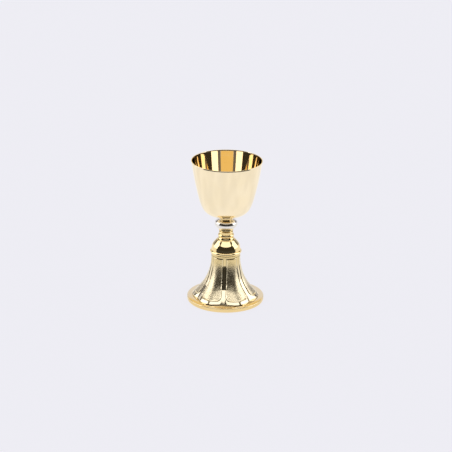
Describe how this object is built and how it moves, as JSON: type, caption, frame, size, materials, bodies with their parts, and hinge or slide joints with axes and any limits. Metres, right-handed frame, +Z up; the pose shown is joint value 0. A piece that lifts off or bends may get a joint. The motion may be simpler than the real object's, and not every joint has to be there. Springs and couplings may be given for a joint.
{
  "type": "communion chalice",
  "caption": "Footed cup with a tapered round bowl, a turned stem with a flattened knop, a small polished dome and a flared, lobed bell foot on a round base ring.",
  "frame": {"origin": "centre of the plane that the foot rests on", "axes": "+Z up along the axis of the stem; -Y is the front, with one rib of the bell four degrees to the left of it"},
  "size_m": [0.1, 0.1, 0.19],
  "materials": {
    "polished_gold": "mirror-polished pale gold plate on brass",
    "warm_gold": "polished warm gold plate on brass",
    "chased_gold": "gold plate on brass, matted panels between polished ribs",
    "silver_plate": "mirror-polished silver-coloured plate",
    "plain_brass": "unplated turned brass",
    "steel": "zinc-plated steel"
  },
  "bodies": {
    "root": {"cup_bowl": "polished_gold", "cup_boss": "plain_brass", "upper_collar": "warm_gold", "knop_upper_shell": "silver_plate", "knop_lower_shell": "silver_plate", "lower_collar": "warm_gold", "stem_core_tube": "plain_brass", "dome_cap": "polished_gold", "dome_bead_ring": "polished_gold", "foot_bell": "chased_gold", "base_ring": "warm_gold", "tie_rod": "steel", "pressure_washer": "plain_brass", "spring_washer": "steel", "tie_rod_nut": "steel"}
  },
  "joints": []
}
